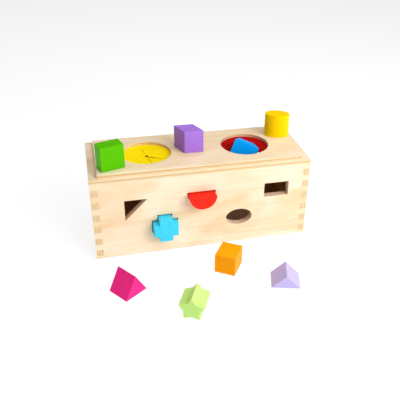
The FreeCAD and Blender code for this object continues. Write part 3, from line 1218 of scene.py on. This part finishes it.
@dataclass
class Membrane:
    """Elastic disc, cut into petals that part when a block is pushed through."""

    node: str
    name: str
    finish: ElasticSheet
    petals: tuple[Slit, ...]
    turn: float = 10.0
    reach: float = 27 * MM
    pinhole: float = 2.3 * MM
    opening: float = 34 * MM
    thickness: float = 1 * MM
    steps: int = 96
    rings: tuple[float, ...] = (38, 34, 32, 29.5, 27, 25.5, 24, 22, 20, 18, 16, 14, 12, 10, 8, 6, 4, 3)
    bend: float = 1.6 * MM
    sink: float = 3.6 * MM
    rim_ease: float = 6 * MM
    pushed_by: "Block | None" = None

    def blank(self, outer: float) -> Workpiece:
        """Cut the flat disc as rings round its pinhole, with open slits.

        Args:
            outer: Its radius.

        Returns:
            The blank, flat at the origin, each slit along a line of corners.
        """
        piece = Workpiece.disc(self.name, self.steps, outer, filled=False)
        size = outer
        with editing(piece, Element.EDGE):
            for radius in [ring * MM for ring in self.rings] + [self.pinhole]:
                bpy.ops.mesh.extrude_edges_move()
                share = radius / size
                bpy.ops.transform.resize(value=(share, share, 1), center_override=(0, 0, 0))
                size = radius
        width = 2 * math.pi / len(self.petals)

        def on_slit(middle: Vector, along: Vector) -> bool:
            """True on a spoke that is cut.

            Args:
                middle: An edge's middle.
                along: Its direction.

            Returns:
                True if it gets picked.
            """
            angle = math.atan2(middle.y, middle.x) / width
            spoke = abs(along.dot(middle.normalized())) > ALIGNED
            return spoke and abs(angle - round(angle)) < SPOKE_SLACK and middle.length < self.reach

        with editing(piece, Element.EDGE, on_slit):
            bpy.ops.mesh.edge_split(type="EDGE")
        return piece

    def folds(self, centre: Vector) -> list[float]:
        """How far from the middle each petal is folded down by the block, or 0 if it isn't.

        Args:
            centre: The membrane's middle in its place.

        Returns:
            One distance for each petal.
        """
        count = len(self.petals)
        found = [0.0] * count
        if self.pushed_by is None:
            return found
        width = 2 * math.pi / count
        for spot in self.pushed_by.spots_at(centre.z):
            away = spot - centre
            angle = (math.atan2(away.y, away.x) - math.radians(self.turn)) % (2 * math.pi)
            petal = min(int(angle / width), count - 1)
            reach = away.length * math.cos(angle - (petal + 0.5) * width)
            found[petal] = max(found[petal], reach)
        return found

    def shape(self, piece: Workpiece, centre: Vector) -> None:
        """Open the slits, let the petals droop and fold them along the block.

        Args:
            piece: The blank, turned to its place round the middle.
            centre: The membrane's middle in its place.
        """
        width = 2 * math.pi / len(self.petals)
        start = math.radians(self.turn)
        folds = self.folds(centre)
        axis = self.pushed_by.axis() if self.pushed_by else Vector((0, 0, 1))
        work = bmesh.new()
        work.from_mesh(piece.obj.data)
        for vertex in work.verts:
            radius = vertex.co.length
            if radius > self.opening - NEAR:
                continue
            faces = vertex.link_faces
            face = sum((each.calc_center_median() for each in faces), Vector()) / len(faces)
            petal = int(((math.atan2(face.y, face.x) - start) % (2 * math.pi)) / width) % len(self.petals)
            slit = self.petals[petal]
            along = (petal + 0.5) * width + start
            outward = Vector((math.cos(along), math.sin(along), 0))
            aside = Vector((-outward.y, outward.x, 0))
            u, v = vertex.co.dot(outward), vertex.co.dot(aside)
            free = max(0.0, 1 - radius / self.reach)
            after = self.petals[(petal + 1) % len(self.petals)]
            off_slit = abs(abs(v) - radius * math.sin(width / 2))
            if radius < self.reach and off_slit < TOUCHING:
                v -= math.copysign((after.gap if v > 0 else slit.gap) / 2 * math.sqrt(free), v)
            dip = slit.droop * free**1.5
            sink = 0.0
            slide = Vector()
            if folds[petal]:
                line = folds[petal] + self.thickness + self.bend
                past = line - u
                near = max(0.0, 1 - max(0.0, -past) / (self.opening - line + MM))
                sink = self.sink * near**2 * min(1.0, (self.opening - radius) / self.rim_ease)
                if past > 0:
                    sweep = min(past / self.bend, math.pi / 2)
                    down = self.bend * (1 - math.cos(sweep)) + past - sweep * self.bend
                    u = line - self.bend * math.sin(sweep)
                    slide = axis * -down
                    dip = 0.0
            flat = outward * u + aside * v
            vertex.co = flat + Vector((0, 0, -dip)) - axis * (sink / axis.z) + slide
        work.to_mesh(piece.obj.data)
        work.free()

    def build(self, register: Register) -> None:
        """Make, dress and hand over the membrane.

        Args:
            register: Where it is handed over.
        """
        low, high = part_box(self.node)
        centre = (low + high) / 2
        piece = self.blank((high.x - low.x) / 2)
        piece.place(Matrix.Rotation(math.radians(self.turn), 4, "Z"))
        self.shape(piece, centre)
        piece.move(centre)
        piece.hold()
        skin = piece.obj.modifiers.new("Skin", "SOLIDIFY")
        skin.thickness = self.thickness
        skin.offset = 0
        bpy.ops.object.modifier_apply(modifier=skin.name)
        with editing(piece, Element.FACE):
            bpy.ops.mesh.normals_make_consistent(inside=False)
        piece.hold()
        bpy.ops.object.shade_smooth_by_angle(angle=math.radians(50))
        piece.dress(self.finish)
        register.hand_over(piece, self.node)


@dataclass
class Lid(Joinery):
    """Lower board and raised panel with two openings, membranes between them, battens below."""

    softening: float = 0.6 * MM
    layers: int = 3
    cut_slant: float = 0.6
    opening: float = 34 * MM
    spread: float = 140 * MM
    rim: float = 8 * MM
    membrane: float = 1 * MM
    crown: float = 1.0 * MM
    batten_rounding: float = 0.8 * MM

    def board(self, node: str, name: str) -> Workpiece:
        """Make one of the two boards with its openings.

        Args:
            node: The board's node.
            name: Name of the piece.

        Returns:
            The board.
        """
        low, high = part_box(node)
        board = Workpiece.block(name, low, high)
        middle, height = (low.z + high.z) / 2, 4 * (high.z - low.z)
        sides = (-self.spread / 2, self.spread / 2)
        board.carve([Workpiece.rod("bit", (x, 0, middle), self.opening, height) for x in sides])
        if node == "lid_board":
            bed = 2 * self.membrane
            board.carve([Workpiece.rod("bit", (x, 0, high.z), self.opening + self.rim, bed) for x in sides])
        return board

    def round_crown(self, board: Workpiece) -> None:
        """Round the raised panel's upper edges and corners more than the rest.

        Args:
            board: The raised panel.
        """
        low, high = board.span()

        def outside(middle: Vector, along: Vector) -> bool:
            """True on the outer upper edges and the upright corners."""
            at_side = abs(abs(middle.x) - high.x) < NEAR or abs(abs(middle.y) - high.y) < NEAR
            return at_side and (middle.z > high.z - NEAR or abs(along.z) > ALIGNED)

        with editing(board, Element.EDGE, outside):
            bpy.ops.mesh.bevel(offset=self.crown, segments=4, affect="EDGES")

    def build(self, register: Register, membranes: Sequence[Membrane]) -> None:
        """Make, dress and hand over the lid.

        Args:
            register: Where the pieces are handed over.
            membranes: The membranes to fit.
        """
        for node, name in (("lid_board", "lid_lower_board"), ("lid_top_panel", "lid_raised_panel")):
            board = self.board(node, name)
            if node == "lid_top_panel":
                self.round_crown(board)
            self.veneer(board, Across.Z, Grain.ALONG_X)
            register.hand_over(board, node)
        for node in ("left_lid_batten", "right_lid_batten"):
            batten = Workpiece.block(node.replace("lid_", ""), *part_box(node))
            batten.soften(self.batten_rounding, 3).smooth()
            batten.dress(BirchFace(f"{node}_wood", Grain.ALONG_Y, honey=tone(220, 182, 130)))
            register.hand_over(batten, node)
        for membrane in membranes:
            membrane.build(register)


# ---------------------------------------------------------------- blocks


@dataclass
class Block:
    """One loose painted block."""

    node: str
    section: Section
    paint: BlockPaint
    turns: tuple[tuple[str, float], ...]
    length: float = 32 * MM
    rounding: float = 0.5 * MM
    parting: float = 0.6 * MM
    middle: Vector = field(default_factory=Vector)

    def stance(self) -> Matrix:
        """How the block is turned from its section's own axes.

        Returns:
            All its turns in one.
        """
        whole = Matrix.Identity(4)
        for axis, angle in self.turns:
            whole = whole @ Matrix.Rotation(math.radians(angle), 4, axis)
        return whole

    def axis(self) -> Vector:
        """Direction of the block's own axis."""
        return self.stance().to_3x3() @ Vector((0, 0, 1))

    def spots_at(self, height: float) -> list[Vector]:
        """Points all over the block's section where its axis passes a height.

        Args:
            height: The height.

        Returns:
            The points, each slid along the axis to that height.
        """
        axis, stance = self.axis(), self.stance()
        points = [stance @ spot + self.middle for spot in self.section.spots(self.parting)]
        return [point + axis * ((height - point.z) / axis.z) for point in points]

    def build(self, register: Register) -> None:
        """Make, dress and hand over the block.

        Args:
            register: Where it is handed over.
        """
        block = self.section.prism(self.length)
        block.obj.name = block.obj.data.name = self.node.replace("_block", "")
        block.soften(self.rounding, 4).smooth()
        block.place(self.stance())
        low, high = block.span()
        cad_low, cad_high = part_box(self.node)
        shift = (cad_low + cad_high - low - high) / 2
        shift.z = cad_low.z - low.z
        self.middle = shift
        block.move(shift)
        block.dress(self.paint)
        register.hand_over(block, self.node)


def paint(name: str, colour: tuple[int, int, int], deep: tuple[int, int, int],
          grain: Grain = Grain.ALONG_Z) -> BlockPaint:
    """Mix a block's paint from two everyday colours."""
    return BlockPaint(f"{name}_paint", tone(*colour), tone(*deep), grain)


BLUE = Block("blue_trapezoid_block", TRAPEZOID, paint("blue", (0, 160, 246), (0, 148, 236)),
             (("Z", -20.4), ("Y", 20.6), ("X", -16)))
BLOCKS = (
    Block("green_rectangle_block", OBLONG, paint("green", (88, 190, 0), (78, 180, 0), Grain.ALONG_X),
          (("Z", 17.5), ("Y", 90))),
    Block("purple_rhombus_block", RHOMBUS, paint("purple", (168, 120, 218), (156, 106, 208)), ()),
    Block("yellow_ellipse_block", OVAL, paint("yellow", (255, 212, 0), (252, 202, 0)), (("Z", -20),),
          length=34 * MM),
    BLUE,
    Block("cyan_cross_block", CROSS, paint("cyan", (70, 212, 244), (58, 202, 238), Grain.ALONG_Y),
          (("X", 90),), rounding=1.4 * MM),
    Block("red_half_round_block", HALF_ROUND, paint("red", (244, 46, 30), (236, 34, 22), Grain.ALONG_Y),
          (("X", 90),)),
    Block("pink_triangle_block", EVEN_TRIANGLE, paint("pink", (252, 46, 138), (246, 38, 130), Grain.ALONG_Y),
          (("Z", 36), ("X", 90))),
    Block("lime_star_block", STAR, paint("lime", (202, 242, 134), (192, 234, 120), Grain.ALONG_Y),
          (("Z", -25.2), ("X", 90)), rounding=1.5 * MM),
    Block("orange_square_block", SQUARE, paint("orange", (255, 160, 0), (254, 150, 0), Grain.ALONG_Y),
          (("Z", -33.4), ("X", 90))),
    Block("lilac_right_triangle_block", RIGHT_TRIANGLE,
          paint("lilac", (198, 186, 234), (188, 174, 228), Grain.ALONG_Y), (("Z", -15.9), ("X", 90))),
)
MEMBRANES = (
    Membrane("yellow_membrane", "yellow_elastic",
             ElasticSheet("yellow_felted", tone(255, 226, 0), tone(250, 208, 0)),
             slits((0.2, 0.2), (0.5, 1.6), (1.6, 0.3), (0.25, 0.2), (0.2, 0.2), (0.8, 0.9), (1.6, 1.8),
                   (2.0, 0.2))),
    Membrane("red_membrane", "red_elastic", ElasticSheet("red_felted", tone(184, 0, 0), tone(146, 0, 0)),
             slits(*((0.5, droop) for droop in (1.2, 0.8, 0.6, 0.9, 1.4, 1.0, 1.0, 1.3))), pushed_by=BLUE),
)


# ---------------------------------------------------------------- studio


@dataclass(frozen=True)
class Lamp:
    """Soft square lamp."""

    name: str
    place: tuple[float, float, float]
    size: float
    power: float
    hue: tuple[float, float, float] = (1.0, 1.0, 1.0)

    def hang(self, target: Sequence[float]) -> None:
        """Hang the lamp and point it.

        Args:
            target: What it points at.
        """
        light = bpy.data.lights.new(self.name, "AREA")
        light.shape = "SQUARE"
        light.size = self.size
        light.energy = self.power
        light.color = self.hue
        lamp = bpy.data.objects.new(self.name, light)
        bpy.context.scene.collection.objects.link(lamp)
        lamp.location = self.place
        lamp.rotation_euler = (Vector(target) - Vector(self.place)).to_track_quat("-Z", "Y").to_euler()


@dataclass
class Studio:
    """White light table, soft light from the camera's right and from above."""

    stand: tuple[float, float, float] = (-0.1427, -0.6950, 0.4740)
    heading: float = 0.287
    dip: float = 0.525
    roll: float = 0.038
    lens: float = 50.53
    shift: tuple[float, float] = (-0.0938, -0.0314)
    target: tuple[float, float, float] = (0.0, -0.05, 0.06)
    table_size: float = 26.0
    table_gap: float = 0.2 * MM
    dome_radius: float = 14.0
    sky_hue: Colour = (0.95, 0.97, 1.0, 1.0)
    sky_strength: float = 0.17
    lamps: tuple[Lamp, ...] = (
        Lamp("key", (0.72, -1.0, 0.92), 1.1, 17, (0.99, 0.985, 0.99)),
        Lamp("top", (0.1, 0.1, 1.6), 1.4, 12, (1.0, 0.99, 0.98)),
        Lamp("left_fill", (-1.0, -0.6, 0.5), 0.9, 1.2),
        Lamp("right_fill", (0.62, -0.62, 0.4), 0.5, 1.8, (0.88, 0.94, 1.0)),
    )

    def floor(self) -> None:
        """Lay the table, a hair below the toy."""
        floor = Workpiece.plane("table_floor", self.table_size).move((0, 0, -self.table_gap))
        floor.dress(Backlight("light_table", tone(158, 158, 160), 0.76))

    def backdrop(self) -> None:
        """Hang a white dome far behind everything; it shows, but casts no light."""
        bpy.ops.object.select_all(action="DESELECT")
        bpy.ops.mesh.primitive_uv_sphere_add(segments=48, ring_count=24, radius=self.dome_radius)
        dome = Workpiece("white_dome")
        dome.dress(Backlight("backlit_dome", tone(250, 250, 251), 0.9))
        for ray in ("diffuse", "glossy", "transmission", "volume_scatter", "shadow"):
            setattr(dome.obj, f"visible_{ray}", False)

    def sky(self) -> None:
        """Light everything evenly from all round."""
        world = bpy.data.worlds.new("soft_white")
        bpy.context.scene.world = world
        world.use_nodes = True
        back = world.node_tree.nodes["Background"]
        back.inputs["Color"].default_value = self.sky_hue
        back.inputs["Strength"].default_value = self.sky_strength

    def camera(self) -> None:
        """Set up the camera."""
        forward = Vector((math.sin(self.heading) * math.cos(self.dip),
                          math.cos(self.heading) * math.cos(self.dip), -math.sin(self.dip)))
        right = Vector((math.cos(self.heading), -math.sin(self.heading), 0))
        up = right.cross(forward)
        tilted = right * math.cos(self.roll) + up * math.sin(self.roll)
        upright = up * math.cos(self.roll) - right * math.sin(self.roll)
        data = bpy.data.cameras.new("camera")
        data.sensor_width = 36
        data.lens = self.lens
        data.shift_x, data.shift_y = self.shift
        data.clip_start = 0.01
        camera = bpy.data.objects.new("camera", data)
        bpy.context.scene.collection.objects.link(camera)
        turn = Matrix((tilted, upright, -forward)).transposed().to_4x4()
        camera.matrix_world = Matrix.Translation(self.stand) @ turn
        bpy.context.scene.camera = camera

    def build(self) -> None:
        """Set the stage."""
        self.floor()
        self.backdrop()
        self.sky()
        for lamp in self.lamps:
            lamp.hang(self.target)
        self.camera()
        bpy.context.scene.view_settings.view_transform = "Standard"


def main() -> None:
    """Build the toy and its studio in order, and note its size."""
    logging.basicConfig(level=logging.INFO, format="%(name)s: %(message)s")
    register = Register(frame["record"])
    Case().build(register)
    for block in BLOCKS:
        block.build(register)
    Lid().build(register, MEMBRANES)
    Studio().build()


if __name__ == "__main__":
    main()
